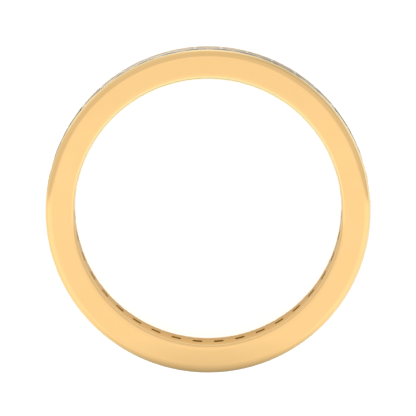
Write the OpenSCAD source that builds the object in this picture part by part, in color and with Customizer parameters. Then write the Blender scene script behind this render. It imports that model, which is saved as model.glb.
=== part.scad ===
// Channel-set eternity ring, lying on one flat side with its axis along Z
// Millimetres. Z = 0 is the side that it rests on, and the axis is the Z axis.

/* [Band] */
// Inside diameter, the finger size
inner_d = 17; // [15:0.5:20]
// Thickness of the band from the finger to the top of its rims
wall_t = 1.82; // [1.8:0.02:2.2]
// Width of the band along the finger
band_w = 3.3; // [3.1:0.1:4.2]
// Radius of the two edges next to the finger
inner_edge_r = 0.18; // [0.1:0.02:0.3]
// Radius of the two outer edges
outer_edge_r = 0.46; // [0.2:0.02:0.5]

/* [Channel] */
// Opening between the two rims that hold the stones
channel_w = 1.65; // [1.4:0.05:1.8]
// How far the stones reach under each rim
rim_bite = 0.05; // [0.03:0.01:0.08]
// Metal left between the finger and the bottom of the channel
floor_t = 0.8; // [0.6:0.05:0.9]
// Clearance between a stone and the metal
seat_gap = 0.025; // [0.02:0.005:0.04]

/* [Setting holes] */
// Length of each hole round the band
hole_len = 0.56; // [0.4:0.02:0.7]
// Width of each hole across the band
hole_w = 0.6; // [0.4:0.02:0.8]
// Radius of each hole's corners
hole_corner_r = 0.14; // [0.05:0.01:0.18]

/* [Stones] */
// Number of stones in the row
stone_count = 39; // [34:1:42]
// Height of the crown, from the girdle to the table
crown_h = 0.19; // [0.16:0.01:0.2]
// Thickness of the girdle
girdle_t = 0.05; // [0.03:0.01:0.06]
// Depth below the girdle, down to the point
pavilion_h = 0.9; // [0.8:0.05:1]
// How far the tables lie below the tops of the rims, 0 when flush
table_drop = 0; // [0:0.01:0.04]
// Space between neighbouring stones at the girdle
stone_gap = 0.04; // [0.03:0.01:0.08]
// Width of the table across the band as a share of the stone's
table_share = 0.74; // [0.6:0.01:0.74]
// Length of the table along the row as a share of the stone's
table_len_share = 0.95; // [0.8:0.01:0.96]
// Cut corners of a stone as a share of its half width
corner_share = 0.1; // [0.08:0.02:0.3]

/* [Hidden] */
$fn = 96;
gold = [0.98, 0.81, 0.53];
crystal = [0.86, 0.86, 0.88];
// Overshoot of a cutting tool past the surface it opens
over = 0.3;

inner_r = inner_d / 2;
rim_r = inner_r + wall_t;
pitch = 360 / stone_count;
// The joint between the first stone and the last lies at the photograph's six o'clock
first_angle = -90 + pitch / 2;

// Radii of a stone's levels, measured at the middle of the stone
table_r = rim_r - table_drop;
girdle_top_r = table_r - crown_h;
girdle_low_r = girdle_top_r - girdle_t;
half_len = girdle_low_r * tan(pitch / 2) - stone_gap / 2;
half_wid = channel_w / 2 + rim_bite;

// A stone's ends lie further from the axis than its middle does
end_rise = sqrt(girdle_top_r * girdle_top_r + half_len * half_len) - girdle_top_r;

// Height above the top of the girdle, then length and width as a share of the girdle's
crown_break = [0.55 * crown_h, 1 - 0.4 * (1 - table_len_share), 0.86];
pavilion_break = [-girdle_t - 0.5 * pavilion_h, 0.58, 0.58];
culet_z = -girdle_t - pavilion_h;

// The stone's levels from the table down, written the same way
levels = [
    [crown_h, table_len_share, table_share],
    crown_break,
    [0, 1, 1],
    [-girdle_t, 1, 1],
    pavilion_break
];

// The channel narrows with the stones down to its floor
floor_r = inner_r + floor_t;
break_r = girdle_top_r + pavilion_break[0];
break_half = half_wid * pavilion_break[2] + seat_gap;
culet_r = girdle_top_r + culet_z;
floor_half = half_wid * pavilion_break[2] * (floor_r - culet_r) / (break_r - culet_r) + seat_gap;
hole_top_r = (floor_r + break_r) / 2;

function two_digits(i) = i < 10 ? str("0", i) : str(i);
function stone_name(i) = str("stone_", two_digits(i));

// What a rounded corner takes off a square one, with the corner at the origin
module corner_waste(r) {
    difference() {
        translate([-over, -over])
            square(r + over);
        translate([r, r])
            circle(r);
    }
}

// Half of the channel's section: x is the radius, y runs from the middle of the band
module channel_half() {
    lip_r = girdle_top_r + end_rise + 2 * seat_gap;
    polygon([
        [rim_r + over, 0],
        [rim_r + over, channel_w / 2],
        [lip_r, channel_w / 2],
        [lip_r, half_wid + seat_gap],
        [girdle_low_r, half_wid + seat_gap],
        [break_r, break_half],
        [floor_r, floor_half],
        [floor_r, 0]
    ]);
}

// Section of the band: x is the radius, y runs along the finger
module band_section() {
    difference() {
        translate([inner_r, 0])
            square([wall_t, band_w]);
        for (side = [0, 1])
            translate([0, side * band_w])
                mirror([0, side]) {
                    translate([inner_r, 0])
                        corner_waste(inner_edge_r);
                    translate([rim_r, 0])
                        mirror([1, 0])
                            corner_waste(outer_edge_r);
                }
        translate([0, band_w / 2]) {
            channel_half();
            mirror([0, 1])
                channel_half();
        }
    }
}

// Turns a shape drawn along the band, across it and upwards to stone i's place
module at_stone(i, r) {
    rotate([0, 0, first_angle + (i - 1) * pitch])
        translate([r, 0, band_w / 2])
            rotate([90, 0, 90])
                children();
}

// Square hole with round corners, as long as the metal under a stone is thick
module setting_hole() {
    straight_len = hole_len - 2 * hole_corner_r;
    straight_w = hole_w - 2 * hole_corner_r;
    linear_extrude(hole_top_r - inner_r + over) {
        square([hole_len, straight_w], center = true);
        square([straight_len, hole_w], center = true);
        for (x = [-straight_len / 2, straight_len / 2], y = [-straight_w / 2, straight_w / 2])
            translate([x, y])
                circle(hole_corner_r);
    }
}

module band() {
    color(gold)
        difference() {
            rotate_extrude()
                band_section();
            for (i = [1:stone_count])
                at_stone(i, inner_r - over)
                    setting_hole();
        }
}

// The eight corners of one level of a stone, anticlockwise from above
function level_points(z, len_share, wid_share) =
    let (
        x = half_len * len_share,
        y = half_wid * wid_share,
        cut = corner_share * min(x, y)
    )
    [
        [x, -y + cut, z],
        [x, y - cut, z],
        [x - cut, y, z],
        [-x + cut, y, z],
        [-x, y - cut, z],
        [-x, -y + cut, z],
        [-x + cut, -y, z],
        [x - cut, -y, z]
    ];

// Square cut stone with a table, two rows of crown facets, a girdle and a pavilion
module cut_stone() {
    last = len(levels) - 1;
    corners = [for (level = levels) each level_points(level[0], level[1], level[2])];
    culet = len(corners);
    table = [for (j = [7:-1:0]) j];
    sides = [
        for (k = [0:last - 1], j = [0:7])
            let (next = (j + 1) % 8)
            [k * 8 + j, k * 8 + next, k * 8 + 8 + next, k * 8 + 8 + j]
    ];
    point = [for (j = [0:7]) [last * 8 + j, last * 8 + (j + 1) % 8, culet]];
    polyhedron(
        points = concat(corners, [[0, 0, culet_z]]),
        faces = concat([table], sides, point)
    );
}

module stone(i) {
    color(crystal)
        at_stone(i, girdle_top_r)
            cut_stone();
}

band();
for (i = [1:stone_count])
    stone(i);
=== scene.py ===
import bpy
import bmesh
import math
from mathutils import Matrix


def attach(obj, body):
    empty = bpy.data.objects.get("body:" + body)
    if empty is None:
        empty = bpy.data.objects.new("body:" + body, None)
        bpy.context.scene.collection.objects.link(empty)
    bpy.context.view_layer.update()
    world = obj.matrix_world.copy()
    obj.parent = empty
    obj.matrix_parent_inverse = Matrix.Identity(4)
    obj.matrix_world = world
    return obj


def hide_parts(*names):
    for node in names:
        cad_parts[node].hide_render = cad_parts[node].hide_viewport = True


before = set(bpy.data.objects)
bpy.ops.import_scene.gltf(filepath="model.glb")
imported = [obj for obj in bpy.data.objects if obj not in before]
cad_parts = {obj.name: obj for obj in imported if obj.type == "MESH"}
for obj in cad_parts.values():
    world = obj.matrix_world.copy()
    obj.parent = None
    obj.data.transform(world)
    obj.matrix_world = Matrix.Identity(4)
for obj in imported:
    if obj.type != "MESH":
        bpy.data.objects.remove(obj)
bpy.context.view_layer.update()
scene = bpy.context.scene
mm = 0.001
white = (1, 1, 1, 1)
print("ring loaded with", len(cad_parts), "nodes")


# camera

cameraView = {
    "tilt": 7.2,             # degrees between the line of sight and the ring's axis
    "distance": 293.0,       # mm from the middle of the ring
    "middleHeight": 1.65,    # mm, half of the band's width
    "focalPixels": 4600.0,   # focal length in pixels of the photograph
    "imagePixels": 416,
    "ringPixel": (208.1, 209.47),   # where the ring's middle lies in the photograph
    "sensor": 36.0,          # mm
    "clip": (0.01, 10.0),    # m
}


def addCamera(view):
    data = bpy.data.cameras.new("studioCamera")
    data.sensor_width = view["sensor"]
    data.lens = view["focalPixels"] * view["sensor"] / view["imagePixels"]
    data.shift_x = (view["imagePixels"] / 2 - view["ringPixel"][0]) / view["imagePixels"]
    data.shift_y = (view["ringPixel"][1] - view["imagePixels"] / 2) / view["imagePixels"]
    data.clip_start, data.clip_end = view["clip"]
    camera = bpy.data.objects.new("studioCamera", data)
    tilt = math.radians(view["tilt"])
    camera.rotation_euler = (-tilt, 0, 0)
    camera.location = (
        0,
        view["distance"] * mm * math.sin(tilt),
        view["middleHeight"] * mm + view["distance"] * mm * math.cos(tilt),
    )
    scene.collection.objects.link(camera)
    scene.camera = camera


addCamera(cameraView)
print("camera placed")


# node helpers

def newMaterial(name):
    material = bpy.data.materials.new(name)
    material.use_nodes = True
    tree = material.node_tree
    return material, tree, tree.nodes["Principled BSDF"]


def addNode(tree, kind, **settings):
    node = tree.nodes.new(kind)
    for key, value in settings.items():
        setattr(node, key, value)
    return node


def feed(tree, socket, source):
    # joins a node's output to the socket, or sets the socket to a plain value
    if hasattr(source, "is_output"):
        tree.links.new(source, socket)
    else:
        socket.default_value = source


def mathNode(tree, operation, *sources):
    node = addNode(tree, "ShaderNodeMath", operation=operation)
    for socket, source in zip(node.inputs, sources):
        feed(tree, socket, source)
    return node.outputs[0]


def multiply(tree, first, second):
    return mathNode(tree, "MULTIPLY", first, second)


def ramp(tree, source, low, high, toLow=0.0, toHigh=1.0, soft=True):
    # toLow where the source is low, toHigh where it is high, and level beyond both
    node = addNode(tree, "ShaderNodeMapRange")
    node.interpolation_type = "SMOOTHSTEP" if soft else "LINEAR"
    for socket, value in zip(node.inputs, (source, low, high, toLow, toHigh)):
        feed(tree, socket, value)
    return node.outputs[0]


def rampSteps(tree, source, places, values, soft=False):
    # one ramp after the other, from each place's value to the next
    result = values[0]
    for k in range(1, len(places)):
        result = ramp(tree, source, places[k - 1], places[k], result, values[k], soft)
    return result


def mixValue(tree, share, first, second):
    return ramp(tree, share, 0, 1, first, second, False)


def mixColor(tree, share, first, second):
    node = addNode(tree, "ShaderNodeMix", data_type="RGBA")
    feed(tree, node.inputs[0], share)
    feed(tree, node.inputs[6], first)
    feed(tree, node.inputs[7], second)
    return node.outputs[2]


def noise(tree, place, scale, detail):
    node = addNode(tree, "ShaderNodeTexNoise")
    tree.links.new(place, node.inputs["Vector"])
    node.inputs["Scale"].default_value = scale
    node.inputs["Detail"].default_value = detail
    return node.outputs["Fac"]


def flatness(tree):
    # 0 where a surface is seen face on, 1 where it is seen at a flat angle
    node = addNode(tree, "ShaderNodeLayerWeight")
    node.inputs["Blend"].default_value = 0.5
    return node.outputs["Facing"]


def splitXyz(tree, place):
    node = addNode(tree, "ShaderNodeSeparateXYZ")
    tree.links.new(place, node.inputs[0])
    return node.outputs


def placeInMetres(tree):
    return addNode(tree, "ShaderNodeTexCoord").outputs["Object"]


def xyzInMm(tree):
    scaled = addNode(tree, "ShaderNodeVectorMath", operation="SCALE")
    tree.links.new(placeInMetres(tree), scaled.inputs[0])
    scaled.inputs["Scale"].default_value = 1 / mm
    return splitXyz(tree, scaled.outputs[0])


def fromAxis(tree, x, y):
    square = mathNode(tree, "ADD", multiply(tree, x, x), multiply(tree, y, y))
    return mathNode(tree, "SQRT", square)


# the studio: a pale floor under an even white tent that is darker on one side

tent = {                     # its light by direction: X is right, Y twelve o'clock, Z up
    "top": 1.0,              # straight above, where twelve o'clock's flat side looks
    "next": 1.052,           # a little further from twelve o'clock
    "nextY": (-0.1045, -0.1075),
    "last": 1.03,            # and further still
    "lastY": (-0.116, -0.14),
    "side": 1.16,            # lower down, left, right and in front
    "sideZ": (0.985, 0.90),
    "dark": 0.80,            # the side behind twelve o'clock
    "darkY": (-0.10, 0.0),
    "darkZ": (0.968, 0.945),
    "foot": 0.58,            # its right half near the floor
    "footX": (0.0, 0.4),
    "footZ": (0.25, 0.05),
}


def addTent(values):
    world = bpy.data.worlds.new("tent")
    world.use_nodes = True
    scene.world = world
    tree = world.node_tree
    x, y, z = splitXyz(tree, addNode(tree, "ShaderNodeTexCoord").outputs["Generated"])
    top = ramp(tree, y, *values["nextY"], values["top"], values["next"])
    top = ramp(tree, y, *values["lastY"], top, values["last"])
    bright = mixValue(tree, ramp(tree, z, *values["sideZ"]), top, values["side"])
    foot = multiply(tree, ramp(tree, z, *values["footZ"]), ramp(tree, x, *values["footX"]))
    dim = mixValue(tree, foot, values["dark"], values["foot"])
    dark = multiply(tree, ramp(tree, y, *values["darkY"]), ramp(tree, z, *values["darkZ"]))
    background = tree.nodes["Background"]
    background.inputs["Color"].default_value = white
    tree.links.new(mixValue(tree, dark, bright, dim), background.inputs["Strength"])


paleFloor = {
    "halfSize": 1.5,         # m
    "color": (0.84, 0.84, 0.84, 1),
    "roughness": 0.6,
}


def addFloor(values):
    half = values["halfSize"]
    mesh = bpy.data.meshes.new("floor")
    corners = [(-half, -half, 0), (half, -half, 0), (half, half, 0), (-half, half, 0)]
    mesh.from_pydata(corners, [], [(0, 1, 2, 3)])
    floor = bpy.data.objects.new("floor", mesh)
    scene.collection.objects.link(floor)
    material, tree, shader = newMaterial("paleFloor")
    shader.inputs["Base Color"].default_value = values["color"]
    shader.inputs["Roughness"].default_value = values["roughness"]
    shader.inputs["Specular IOR Level"].default_value = 0.0
    mesh.materials.append(material)


lightPool = {
    "strength": 0.72,        # in its middle, against about 1 from the tent
    "tilt": 7.2,             # degrees from upright toward twelve o'clock
    "height": 400.0,         # mm
    "radius": 110.0,         # mm on the floor, where it has faded out
    "softness": 12.0,        # mm across the light
}


def addPool(values):
    height = values["height"] * mm
    tilt = math.radians(values["tilt"])
    data = bpy.data.lights.new("pool", "SPOT")
    data.shadow_soft_size = values["softness"] * mm
    data.spot_size = 2 * math.atan(values["radius"] * mm / height)
    data.spot_blend = 1.0
    data.energy = values["strength"] * 4 * math.pi * math.pi * height * height
    light = bpy.data.objects.new("pool", data)
    light.location = (0, height * math.sin(tilt), height * math.cos(tilt))
    light.rotation_euler = (-tilt, 0, 0)
    light.visible_glossy = False
    light.visible_transmission = False
    scene.collection.objects.link(light)


# glowing grey cards that only reflections show, with their lengths in mm and radii from the ring's
# axis; they are painted shade and light for the reflections, standing in for dark surroundings and the
# shadow where the ring meets the floor

def addCard(name, corners, faces, paint):
    mesh = bpy.data.meshes.new(name)
    mesh.from_pydata([(x * mm, y * mm, z * mm) for x, y, z in corners], [], faces)
    card = bpy.data.objects.new(name, mesh)
    scene.collection.objects.link(card)
    material, tree, shader = newMaterial(name)
    tree.nodes.remove(shader)
    glow = addNode(tree, "ShaderNodeEmission")
    tree.links.new(glow.outputs[0], tree.nodes["Material Output"].inputs["Surface"])
    light, color = paint(tree)
    tree.links.new(light, glow.inputs["Strength"])
    feed(tree, glow.inputs["Color"], color)
    mesh.materials.append(material)
    card.visible_camera = False
    card.visible_diffuse = False
    card.visible_shadow = False
    card.visible_transmission = False


standingShadeCard = {             # below six o'clock: painted shade, a dark glowing card that darkens what six o'clock's outside reflects
    "distance": 12.0,        # from the axis to the card
    "foot": 10.36,           # from the axis to where its foot on the floor ends
    "halfWidth": 14.0,
    "heights": (0.01, 2.8, 4.3, 7.7),
    "lights": (0.44, 0.47, 0.62, 0.73),
    "fadeFrom": 0.8,         # to either side, where it starts to turn as light as the tent
    "fadeTo": 14.6,          # where it has, on the floor
    "fadeTaper": 0.55,       # and how much sooner for each mm of height
    "endLight": 1.04,
}


def addStandingShadeCard(values):
    half = values["halfWidth"]
    foot = -values["foot"]
    back = -values["distance"]
    low = values["heights"][0]
    top = values["heights"][-1]

    def paint(tree):
        x, y, z = xyzInMm(tree)
        light = rampSteps(tree, z, values["heights"], values["lights"])
        taper = multiply(tree, z, values["fadeTaper"])
        fadeTo = mathNode(tree, "SUBTRACT", values["fadeTo"], taper)
        end = ramp(tree, mathNode(tree, "ABSOLUTE", x), values["fadeFrom"], fadeTo)
        return mixValue(tree, end, light, values["endLight"]), white

    corners = [(-half, foot, low), (half, foot, low), (half, back, low), (-half, back, low)]
    corners += [(half, back, top), (-half, back, top)]
    addCard("standingShadeCard", corners, [(0, 1, 2, 3), (3, 2, 4, 5)], paint)


hangingShadeCard = {              # over the standing one: painted shade, a glowing card that darkens what six o'clock reflects from above
    "height": 12.0,
    "reach": (9.3, 14.2),    # from the axis
    "halfWidth": 9.5,
    "places": (9.3, 9.9, 10.7, 11.1, 11.3),
    "lights": (1.04, 0.96, 0.90, 0.86, 0.74),
    "fadeFrom": 0.5,         # to either side, up to its ends
    "endLight": 1.04,
}


def addHangingShadeCard(values):
    half = values["halfWidth"]
    near, far = values["reach"]
    height = values["height"]

    def paint(tree):
        x, y, z = xyzInMm(tree)
        light = rampSteps(tree, multiply(tree, y, -1), values["places"], values["lights"])
        end = ramp(tree, mathNode(tree, "ABSOLUTE", x), values["fadeFrom"], half)
        return mixValue(tree, end, light, values["endLight"]), white

    corners = [(-half, -near, height), (half, -near, height)]
    corners += [(half, -far, height), (-half, -far, height)]
    addCard("hangingShadeCard", corners, [(0, 1, 2, 3)], paint)


# two more lie just over the floor, one round the ring and one inside the finger hole: painted shade
# and light, standing in for the ring's contact shadow on the floor and the gold's warm bounce, as the
# gold and the stones reflect them

def addFlatRing(name, reach, paint):
    steps = 180
    lift = 0.005
    corners = []
    for k in range(steps + 1):
        angle = 2 * math.pi * k / steps
        for radius in reach:
            corners.append((radius * math.cos(angle), radius * math.sin(angle), lift))
    faces = [(2 * k, 2 * k + 1, 2 * k + 3, 2 * k + 2) for k in range(steps)]
    addCard(name, corners, faces, paint)


outerShade = {
    "reach": (10.29, 70),
    "turns": (-0.4, 0.0, 0.5),            # for each three lights: 0 at twelve, 1 at three o'clock
    "sideTurn": (0.48, 0.85),             # where they end to either side
    "frontY": (1.5, -1.5),                # and in front
    "rimLight": 0.42,
    "rimEnd": (10.41, 10.44),
    "stoneLights": (1.08, 0.87, 0.62),    # in the stones, left of twelve, at it and right of it
    "stoneFront": 1.16,                   # and to the sides and in front
    "stoneEnd": (10.61, 10.66),
    "lineLights": (0.92, 1.25, 0.84),     # in the line between the stones and the rounding
    "lineFront": 1.04,
    "lineEnd": (11.2, 12.6),
    "nearLights": (0.83, 1.04, 0.76),     # in the rounding
    "nearFront": 1.0,
    "nearEnd": (14, 26),
    "farLights": (0.83, 0.80, 0.54),
    "farFront": 1.0,
    "farRight": 1.02,                     # at three o'clock
    "farRightTurn": (0.78, 0.92),
    "leftShare": 0.80,                    # what is left of the light just over nine o'clock
    "leftTurn": (-0.86, -0.94),
    "leftY": (0.3, 1.8),
    "shadeWarm": (1.0, 0.87, 0.74, 1),    # beside the gold
    "lineWarm": (0.97, 0.97, 0.87, 1),
    "rightCool": (0.96, 1.05, 1.28, 1),   # further out toward three o'clock
    "rightCoolTurn": (0.2, 0.7),
}


def addOuterShade(values):
    def paint(tree):
        x, y, z = xyzInMm(tree)
        radius = fromAxis(tree, x, y)
        turn = mathNode(tree, "DIVIDE", x, radius)
        front = ramp(tree, y, *values["frontY"])
        around = ramp(tree, mathNode(tree, "ABSOLUTE", turn), *values["sideTurn"])
        around = mathNode(tree, "MAXIMUM", around, front)

        def zone(name, share):
            back = rampSteps(tree, turn, values["turns"], values[name + "Lights"], True)
            return mixValue(tree, share, back, values[name + "Front"])

        right = ramp(tree, turn, *values["farRightTurn"])
        far = mixValue(tree, right, zone("far", front), values["farRight"])
        left = multiply(tree, ramp(tree, turn, *values["leftTurn"]), ramp(tree, y, *values["leftY"]))
        light = zone("stone", around)
        light = ramp(tree, radius, *values["rimEnd"], values["rimLight"], light, False)
        light = ramp(tree, radius, *values["stoneEnd"], light, zone("line", around), False)
        light = ramp(tree, radius, *values["lineEnd"], light, zone("near", around), False)
        light = multiply(tree, light, mixValue(tree, left, 1.0, values["leftShare"]))
        light = ramp(tree, radius, *values["nearEnd"], light, far, False)

        pastStones = ramp(tree, radius, *values["stoneEnd"], soft=False)
        pastLine = ramp(tree, radius, *values["lineEnd"], soft=False)
        rightward = multiply(tree, around, ramp(tree, turn, *values["rightCoolTurn"]))
        warm = mixColor(tree, pastStones, values["shadeWarm"], values["lineWarm"])
        cool = mixColor(tree, rightward, white, values["rightCool"])
        return light, mixColor(tree, pastLine, warm, cool)

    addFlatRing("outerShade", values["reach"], paint)


innerShade = {
    "reach": (0.05, 8.48),   # up to the finger's wall
    "halves": (-2, 3),       # Y, from six o'clock's half to twelve's
    "sixLight": 0.80,
    "twelveLight": 1.25,
    "twelveCool": (0.96, 1.06, 1.28, 1),
    "wallStart": 7.4,
    "wallPlaces": (7.95, 8.30, 8.43, 8.48),
    "wallLights": (0.88, 0.71, 0.62, 0.74),
    "wallWarm": (1.0, 0.82, 0.54, 1),     # on six o'clock's half
    "wallWarmStart": (7.55, 7.95),
    "wallWarmEnd": (8.25, 8.43),
    "wallWarmLast": 0.8,     # what is left of it at the wall
}


def addInnerShade(values):
    def paint(tree):
        x, y, z = xyzInMm(tree)
        radius = fromAxis(tree, x, y)
        low, high = values["halves"]
        twelve = ramp(tree, y, low, high)
        six = ramp(tree, y, high, low)
        wall = rampSteps(tree, radius, values["wallPlaces"], values["wallLights"])
        wallEnd = values["wallPlaces"][0]
        light = ramp(tree, radius, values["wallStart"], wallEnd, values["sixLight"], wall, False)
        light = mixValue(tree, twelve, light, values["twelveLight"])
        warmth = multiply(tree, ramp(tree, radius, *values["wallWarmStart"]), six)
        atWall = ramp(tree, radius, *values["wallWarmEnd"], 1.0, values["wallWarmLast"])
        cool = mixColor(tree, twelve, white, values["twelveCool"])
        return light, mixColor(tree, multiply(tree, warmth, atWall), cool, values["wallWarm"])

    addFlatRing("innerShade", values["reach"], paint)


addTent(tent)
addFloor(paleFloor)
addPool(lightPool)
addStandingShadeCard(standingShadeCard)
addHangingShadeCard(hangingShadeCard)
addOuterShade(outerShade)
addInnerShade(innerShade)
scene.view_settings.view_transform = "Standard"
scene.view_settings.look = "None"
scene.cycles.caustics_reflective = True
scene.cycles.caustics_refractive = False
print("studio set")


# the gold: polished outside, a little duller in the bore, and rough inside the setting holes, where
# its colour is painted dark brown as painted shade

polishedFinish = {
    "color": (0.974, 0.638, 0.280, 1),
    "patchColor": (0.962, 0.623, 0.267, 1),   # the broad, faint patches
    "paintedSheenColor": (0.83, 0.70, 0.35, 1),   # painted sheen: a paler reflection painted along the inner edge
    "flatColor": (0.93, 0.74, 0.42, 1),   # at a flat angle
    "edgeTint": (0.97, 0.95, 0.78, 1),
    "roughness": (0.045, 0.075),
    "lineDepth": 0.03,
}

boreFinish = {
    "color": (0.974, 0.640, 0.268, 1),
    "patchColor": (0.955, 0.615, 0.245, 1),
    "paintedSheenColor": None,
    "flatColor": None,
    "edgeTint": (0.94, 0.86, 0.70, 1),
    "roughness": (0.06, 0.10),
    "lineDepth": 0.05,
}

# painted shade: the walls inside the setting holes are painted dark brown for the shade in those
# recesses
holePaintedShadeFinish = {
    "color": (0.38, 0.20, 0.01, 1),
    "patchColor": (0.30, 0.15, 0.01, 1),
    "paintedSheenColor": None,
    "flatColor": None,
    "edgeTint": (0.7, 0.4, 0.05, 1),
    "roughness": (0.34, 0.46),
    "lineDepth": 0.0,
}

plateFinish = {              # the channel is plated white inside, so that the stones stay clear
    "color": (0.93, 0.90, 0.84, 1),
    "patchColor": (0.88, 0.85, 0.78, 1),
    "paintedSheenColor": None,
    "flatColor": None,
    "edgeTint": white,
    "roughness": (0.12, 0.18),
    "lineDepth": 0.0,
}

metalGrain = {
    "patchScale": 420.0,     # per m
    "patchDetail": 3.0,
    "patchNoise": (0.35, 0.7),            # from none of the patch colour to all of it
    "paintedSheenRadius": (8.78, 8.60),           # mm from the axis, down to the finger
    "paintedSheenY": (-2.0, 6.0),                 # mm, on the half toward twelve o'clock
    "flatAngle": (0.25, 0.7),             # 0 is face on, 1 is flat
    "lineScale": 14.0,       # per mm, of the fine lines that the polishing wheel leaves
    "lineDetail": 4.0,
    "lineNoise": (0.1, 0.6),              # from the first roughness to the second
    "lineHeight": 0.01,      # mm
}


def metalMaterial(name, finish, grain):
    material, tree, shader = newMaterial(name)
    x, y, z = xyzInMm(tree)
    radius = fromAxis(tree, x, y)
    cloud = noise(tree, placeInMetres(tree), grain["patchScale"], grain["patchDetail"])
    patch = ramp(tree, cloud, *grain["patchNoise"])
    color = mixColor(tree, patch, finish["color"], finish["patchColor"])
    # painted sheen: the inner edge on twelve o'clock's half is painted paler, as a reflection would
    # make it
    if finish["paintedSheenColor"]:
        paintedSheen = ramp(tree, radius, *grain["paintedSheenRadius"])
        paintedSheen = multiply(tree, paintedSheen, ramp(tree, y, *grain["paintedSheenY"]))
        color = mixColor(tree, paintedSheen, color, finish["paintedSheenColor"])
    if finish["flatColor"]:
        flat = ramp(tree, flatness(tree), *grain["flatAngle"])
        color = mixColor(tree, flat, color, finish["flatColor"])
    tree.links.new(color, shader.inputs["Base Color"])
    # the lines run round the ring, so they change with radius and height only
    across = addNode(tree, "ShaderNodeCombineXYZ")
    tree.links.new(radius, across.inputs[0])
    tree.links.new(z, across.inputs[1])
    lines = noise(tree, across.outputs[0], grain["lineScale"], grain["lineDetail"])
    dull = ramp(tree, multiply(tree, patch, lines), *grain["lineNoise"], *finish["roughness"])
    tree.links.new(dull, shader.inputs["Roughness"])
    if finish["lineDepth"]:
        bump = addNode(tree, "ShaderNodeBump")
        bump.inputs["Strength"].default_value = finish["lineDepth"]
        bump.inputs["Distance"].default_value = grain["lineHeight"] * mm
        tree.links.new(lines, bump.inputs["Height"])
        tree.links.new(bump.outputs[0], shader.inputs["Normal"])
    shader.inputs["Metallic"].default_value = 1.0
    shader.inputs["Specular Tint"].default_value = finish["edgeTint"]
    return material


stoneFinish = {
    "color": (0.97, 0.97, 0.97, 1),
    "cloudColor": (0.93, 0.93, 0.94, 1),  # the faint clouding inside some stones
    "cloudScale": 900.0,     # per m
    "cloudDetail": 2.0,
    "cloudNoise": (0.45, 0.7),
    "flatColor": (0.50, 0.42, 0.32, 1),   # what shows through at a flat angle
    "flatAngle": (0.72, 0.88),
    "roughness": 0.0,
    "ior": 2.42,
}


def stoneMaterial(finish):
    material, tree, shader = newMaterial("clearStone")
    cloud = noise(tree, placeInMetres(tree), finish["cloudScale"], finish["cloudDetail"])
    cloud = ramp(tree, cloud, *finish["cloudNoise"])
    color = mixColor(tree, cloud, finish["color"], finish["cloudColor"])
    flat = ramp(tree, flatness(tree), *finish["flatAngle"])
    color = mixColor(tree, flat, color, finish["flatColor"])
    tree.links.new(color, shader.inputs["Base Color"])
    shader.inputs["Roughness"].default_value = finish["roughness"]
    shader.inputs["IOR"].default_value = finish["ior"]
    shader.inputs["Transmission Weight"].default_value = 1.0
    return material


polishedGold = metalMaterial("polishedGold", polishedFinish, metalGrain)
boreGold = metalMaterial("boreGold", boreFinish, metalGrain)
holePaintedShadeGold = metalMaterial("holePaintedShadeGold", holePaintedShadeFinish, metalGrain)
channelMetal = metalMaterial("channelMetal", plateFinish, metalGrain)
clearStone = stoneMaterial(stoneFinish)
print("materials made")


# the band, built afresh with a finer mesh than the CAD solid's

bandShape = {                # mm and degrees; radii are from the ring's axis, halves from mid-width
    "fingerRadius": 8.5,
    "rimRadius": 10.32,
    "width": 3.3,
    "innerEdge": 0.18,
    "innerSoft": 0.20,       # how far the side slopes off toward the inner edge
    "innerSlope": 10.0,      # how steep it is at the end of that
    "outerEdge": 0.46,
    "channel": 1.65,
    "rimCorner": 0.09,
    "lipRadius": 10.211,
    "seatRadius": 10.08,
    "seatHalf": 0.90,
    "slopeRadius": 9.63,
    "slopeHalf": 0.5325,
    "troughRadius": 9.30,
    "troughHalf": 0.16,
    "stones": 39,
    "holeLength": 0.56,
    "holeWidth": 0.60,
    "holeCorner": 0.14,
    "holeSoftEdge": 0.03,
}

bandDetail = {
    "pitchSteps": 12,        # columns to a stone
    "innerArcSteps": 8,
    "softSteps": 8,
    "outerArcSteps": 16,
    "lipArcSteps": 6,
    "lipGoldSteps": 2,       # of those, before the plating starts
    "holeShortSteps": 4,
    "sideMargin": 0.03,      # mm from a flat's ends to the rows that keep it flat
    "rimMargin": 0.02,
    "wallShares": (1.0, 0.55, 0.25, 0.06, 0.0),   # rows from a panel's edge in to its hole
    "holeTurns": (30, 60, 90),                    # degrees round the hole's soft edge
    "troughShares": (0.0, 0.25, 1.0),             # rows from the hole out to the slope
    "weldDistance": 1e-7,    # m
    "sharpAngle": 32,        # degrees between faces, where the shading breaks
}

bandMaterials = (polishedGold, boreGold, holePaintedShadeGold, channelMetal)
polishedSlot, boreSlot, holeSlot, plateSlot = range(4)


def arcPoints(centreX, centreY, radius, fromDegrees, toDegrees, steps):
    points = []
    for k in range(steps + 1):
        angle = math.radians(fromDegrees + (toDegrees - fromDegrees) * k / steps)
        points.append((centreX + radius * math.cos(angle), centreY + radius * math.sin(angle)))
    return points


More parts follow.
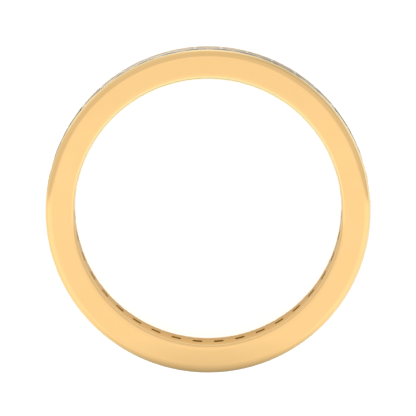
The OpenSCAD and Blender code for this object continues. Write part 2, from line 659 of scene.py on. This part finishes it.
def halfSection(shape, detail):
    # (radius, height) from the finger's wall over the side and the rim down to the slope
    # under the stones, and the number of the point where the plating starts
    half = shape["width"] / 2
    inner = shape["innerEdge"]
    outer = shape["outerEdge"]
    corner = shape["rimCorner"]
    finger = shape["fingerRadius"]
    rim = shape["rimRadius"]
    mouth = shape["channel"] / 2
    slope = math.radians(shape["innerSlope"])
    soft = shape["innerSoft"]
    drop = soft * math.tan(slope) / 2
    edgeRadius = (inner - drop) / math.cos(slope)
    edgeEnd = 90 + shape["innerSlope"]
    edgeSteps = detail["innerArcSteps"]
    points = arcPoints(finger + edgeRadius, half - inner, edgeRadius, 180, edgeEnd, edgeSteps)
    softStart = points[-1][0]
    for k in range(1, detail["softSteps"] + 1):
        share = k / detail["softSteps"]
        left = 1 - share
        points.append((softStart + soft * share, half - drop * left * left))
    flatEnd = rim - outer
    points.append((softStart + soft + detail["sideMargin"], half))
    points.append((flatEnd - detail["sideMargin"], half))
    points += arcPoints(flatEnd, half - outer, outer, 90, 0, detail["outerArcSteps"])
    points.append((rim, half - outer - detail["rimMargin"]))
    points.append((rim, mouth + corner + detail["rimMargin"]))
    plateStart = len(points) + detail["lipGoldSteps"]
    points += arcPoints(rim - corner, mouth + corner, corner, 0, -90, detail["lipArcSteps"])
    points.append((shape["lipRadius"], mouth))
    points.append((shape["lipRadius"], shape["seatHalf"]))
    points.append((shape["seatRadius"], shape["seatHalf"]))
    points.append((shape["slopeRadius"], shape["slopeHalf"]))
    return points, plateStart


def holeOutline(shape, detail, grow):
    # (along the band, across it) round one hole, from the middle of its first corner
    corner = shape["holeCorner"] + grow
    x = shape["holeLength"] / 2 + grow - corner
    y = shape["holeWidth"] / 2 + grow - corner
    centres = [(x, y), (-x, y), (-x, -y), (x, -y)]
    shortSteps = detail["holeShortSteps"]
    longSteps = detail["pitchSteps"] - shortSteps

    def cornerPoint(number, turn):
        # turn is 0 in the middle of a corner and 45 degrees at its end
        centreX, centreY = centres[number % 4]
        angle = math.radians(45 + 90 * (number % 4) + turn)
        return centreX + corner * math.cos(angle), centreY + corner * math.sin(angle)

    outline = []
    for number in range(4):
        outline += [cornerPoint(number, turn) for turn in (0, 22.5, 45)]
        startX, startY = outline[-1]
        endX, endY = cornerPoint(number + 1, -45)
        steps = longSteps if number % 2 == 0 else shortSteps
        for k in range(1, steps):
            share = k / steps
            outline.append((startX + (endX - startX) * share, startY + (endY - startY) * share))
        outline += [cornerPoint(number + 1, turn) for turn in (-45, -22.5)]
    return outline


def panelOutline(shape, detail, halfAngle, halfHeight):
    # (angle, height) round one stone's share of the band, with as many points as a hole has
    steps = detail["pitchSteps"]
    crease = shape["troughHalf"]
    between = (halfHeight + crease) / 2
    heights = [between, crease, crease / 2, 0, -crease / 2, -crease, -between]
    outline = [(halfAngle * (1 - 2 * k / steps), halfHeight) for k in range(steps + 1)]
    outline += [(-halfAngle, height) for height in heights]
    outline += [(-halfAngle * (1 - 2 * k / steps), -halfHeight) for k in range(steps + 1)]
    outline += [(halfAngle, height) for height in reversed(heights)]
    return outline


def troughRadiusAt(shape, height):
    rise = max(0.0, abs(height) - shape["troughHalf"])
    slope = (shape["slopeRadius"] - shape["troughRadius"]) / (shape["slopeHalf"] - shape["troughHalf"])
    return shape["troughRadius"] + rise * slope


def buildBand(shape, detail):
    mesh = bmesh.new()
    pitch = 2 * math.pi / shape["stones"]
    firstAngle = -math.pi / 2 + pitch / 2
    middle = shape["width"] / 2
    finger = shape["fingerRadius"]
    soft = shape["holeSoftEdge"]

    def vertex(angle, radius, height):
        return mesh.verts.new((
            radius * math.cos(angle) * mm,
            radius * math.sin(angle) * mm,
            (middle + height) * mm,
        ))

    def strips(rows, slot, plateStart=None):
        # closed rows, each joined to the next, with plating from the row plateStart on
        for number, (row, nextRow) in enumerate(zip(rows, rows[1:])):
            if plateStart is not None and number >= plateStart:
                slot = plateSlot
            for k in range(len(row)):
                after = (k + 1) % len(row)
                face = mesh.faces.new((row[k], row[after], nextRow[after], nextRow[k]))
                face.material_index = slot

    # the two sides with their rims and lips
    section, plateStart = halfSection(shape, detail)
    columns = shape["stones"] * detail["pitchSteps"]
    for side in (1, -1):
        rows = []
        for radius, height in section:
            row = []
            for k in range(columns):
                angle = firstAngle - pitch / 2 + k * pitch / detail["pitchSteps"]
                row.append(vertex(angle, radius, side * height))
            rows.append(row)
        strips(rows, polishedSlot, plateStart)

    # the finger's wall and the trough at each stone, with the setting hole between them
    wallPanel = panelOutline(shape, detail, pitch / 2, middle - shape["innerEdge"])
    troughPanel = panelOutline(shape, detail, pitch / 2, shape["slopeHalf"])
    for stone in range(shape["stones"]):
        centre = firstAngle + stone * pitch
        rows = []
        for share in detail["wallShares"]:
            row = []
            for (angle, height), (x, y) in zip(wallPanel, holeOutline(shape, detail, soft)):
                holeAngle = math.asin(x / finger)
                angle = centre + holeAngle + (angle - holeAngle) * share
                row.append(vertex(angle, finger, y + (height - y) * share))
            rows.append(row)
        strips(rows, boreSlot)
        rows = rows[-1:]
        for turn in detail["holeTurns"]:
            inset = soft * (1 - math.sin(math.radians(turn)))
            radius = finger + soft * (1 - math.cos(math.radians(turn)))
            row = []
            for x, y in holeOutline(shape, detail, inset):
                row.append(vertex(centre + math.asin(x / radius), radius, y))
            rows.append(row)
        plateStart = len(rows)
        for share in detail["troughShares"]:
            row = []
            for (angle, height), (x, y) in zip(troughPanel, holeOutline(shape, detail, 0)):
                holeAngle = math.asin(x / troughRadiusAt(shape, y))
                angle = centre + holeAngle + (angle - holeAngle) * share
                y = y + (height - y) * share
                row.append(vertex(angle, troughRadiusAt(shape, y), y))
            rows.append(row)
        strips(rows, holeSlot, plateStart)

    bmesh.ops.remove_doubles(mesh, verts=mesh.verts, dist=detail["weldDistance"])
    bmesh.ops.recalc_face_normals(mesh, faces=mesh.faces)
    data = bpy.data.meshes.new("bandGold")
    mesh.to_mesh(data)
    mesh.free()
    data.shade_smooth()
    data.set_sharp_from_angle(angle=math.radians(detail["sharpAngle"]))
    for material in bandMaterials:
        data.materials.append(material)
    band = bpy.data.objects.new("bandGold", data)
    scene.collection.objects.link(band)
    return band


bandGold = buildBand(bandShape, bandDetail)
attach(bandGold, "root")
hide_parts("band")
print("band built with", len(bandGold.data.polygons), "faces")

for name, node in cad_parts.items():
    if name.startswith("stone_"):
        for place in node.material_slots:
            place.material = clearStone
print("stones finished")
